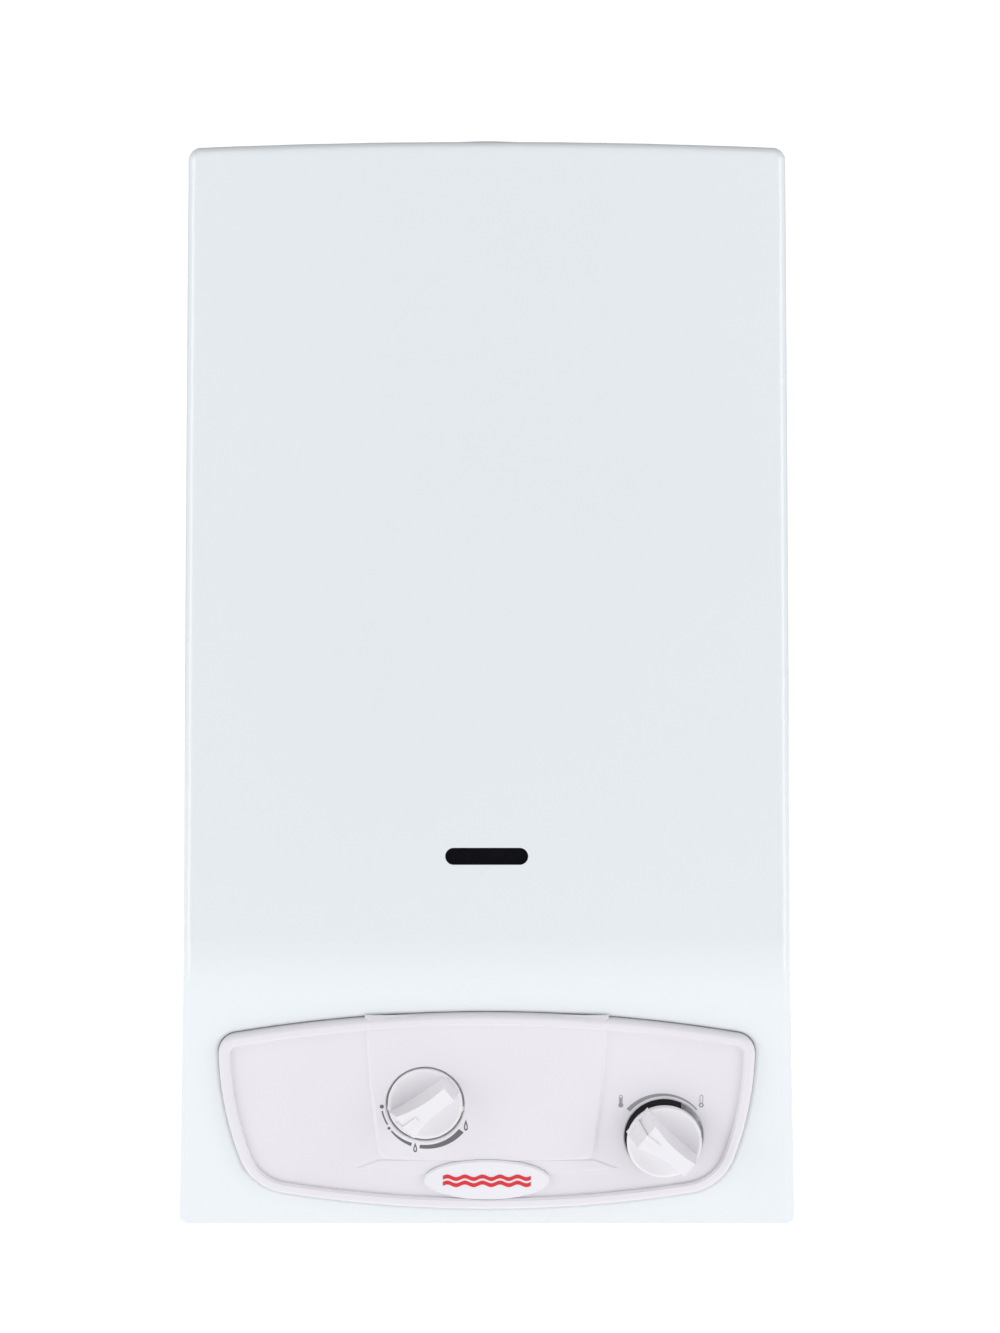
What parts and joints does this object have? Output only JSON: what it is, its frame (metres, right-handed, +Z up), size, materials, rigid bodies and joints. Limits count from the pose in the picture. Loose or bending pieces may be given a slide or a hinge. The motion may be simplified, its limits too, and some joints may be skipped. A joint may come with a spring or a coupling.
{
  "type": "wall-hung instantaneous gas water heater",
  "caption": "White wall-hung gas water heater with an open flue, a flame window and a leaning control fascia with gas and temperature knobs.",
  "frame": {"origin": "on the wall plane at the rear of the back frame, on the centre line, level with the lower edge of the front cover", "axes": "+Z up, +Y towards the wall, so the front faces -Y, +X to the right as seen from the front"},
  "size_m": [0.3362, 0.2496, 0.608],
  "materials": {
    "cover_paint": "smooth cool white enamel",
    "fascia_plastic": "satin white moulding",
    "knob_plastic": "satin white moulding",
    "badge_plastic": null,
    "galvanised": "galvanised sheet",
    "zinc_screw": "zinc plated",
    "spring_steel": "bright drawn steel",
    "burner_steel": "stainless sheet, heat tinted",
    "copper": "bare copper",
    "brass": "turned brass",
    "cast_alloy": "die cast, as cast",
    "window_glass": "dark heat-resisting glass",
    "seal_rubber": "black rubber",
    "seal_fibre": "red fibre",
    "lead_rubber": "silicone insulated lead",
    "black_plastic": "black moulding",
    "electrode_ceramic": "white ceramic"
  },
  "bodies": {
    "root": {"back_frame": "galvanised", "badge_plate": "badge_plastic", "burner_bars": "burner_steel", "burner_brackets": "galvanised", "burner_frame": "burner_steel", "cold_inlet_connector": "brass", "cold_pipe": "copper", "control_fascia": "fascia_plastic", "cover_screws": "zinc_screw", "diaphragm": "seal_rubber", "drain_plug": "brass", "dust_cap": "black_plastic", "exchanger_brackets": "galvanised", "exchanger_fins": "copper", "exchanger_shell": "copper", "exchanger_tubes": "copper", "fascia_clamp": "galvanised", "fascia_screws": "zinc_screw", "feed_pipe": "copper", "flue_collar": "galvanised", "flue_hood": "galvanised", "flue_thermostat": "black_plastic", "front_cover": "cover_paint", "gas_inlet_connector": "brass", "gas_manifold": "cast_alloy", "gas_pipe": "copper", "gas_valve_body": "cast_alloy", "gas_valve_cover": "cast_alloy", "hot_outlet_connector": "brass", "hot_pipe": "copper", "ignition_electrode": "electrode_ceramic", "ignition_lead": "lead_rubber", "injectors": "brass", "lock_nuts": "brass", "manifold_riser": "cast_alloy", "piezo_igniter": "black_plastic", "pilot_burner": "brass", "pilot_tube": "cast_alloy", "sealing_washers": "seal_fibre", "shell_coil": "copper", "thermocouple": "brass", "thermocouple_lead": "copper", "union_nuts": "brass", "valve_bracket": "galvanised", "valve_screws": "zinc_screw", "water_valve_body": "cast_alloy", "water_valve_cover": "brass", "window_frame": "galvanised", "window_glass": "window_glass"},
    "gas_push": {"gas_push_rod": "spring_steel", "push_spring": "spring_steel"},
    "gas_knob": {"gas_knob": "knob_plastic", "gas_tap_spindle": "brass"},
    "temperature_knob": {"temperature_knob": "knob_plastic", "selector_spindle": "brass"},
    "water_servo": {"diaphragm_plate": "spring_steel", "servo_rod": "spring_steel", "gas_plunger": "seal_rubber", "plunger_spring": "spring_steel"}
  },
  "joints": [
    {"name": "gas_push", "type": "slide", "parent": "root", "child": "gas_push", "axis": [0, 0.9744, 0.225], "range_m": [0, 0.006], "stiffness_N_per_m": 400, "springref_m": -0.004},
    {"name": "gas_turn", "type": "hinge", "parent": "gas_push", "child": "gas_knob", "pos_m": [-0.0329, -0.22757, 0.06743], "axis": [0, -0.9744, -0.225], "range_deg": [-36.1, 112.9]},
    {"name": "temperature_turn", "type": "hinge", "parent": "root", "child": "temperature_knob", "pos_m": [0.0947, -0.22336, 0.04921], "axis": [0, -0.9744, -0.225], "range_deg": [-101, 0]},
    {"name": "servo_slide", "type": "slide", "parent": "root", "child": "water_servo", "axis": [-1, 0, 0], "range_m": [0, 0.004], "stiffness_N_per_m": 500, "springref_m": -0.004}
  ]
}
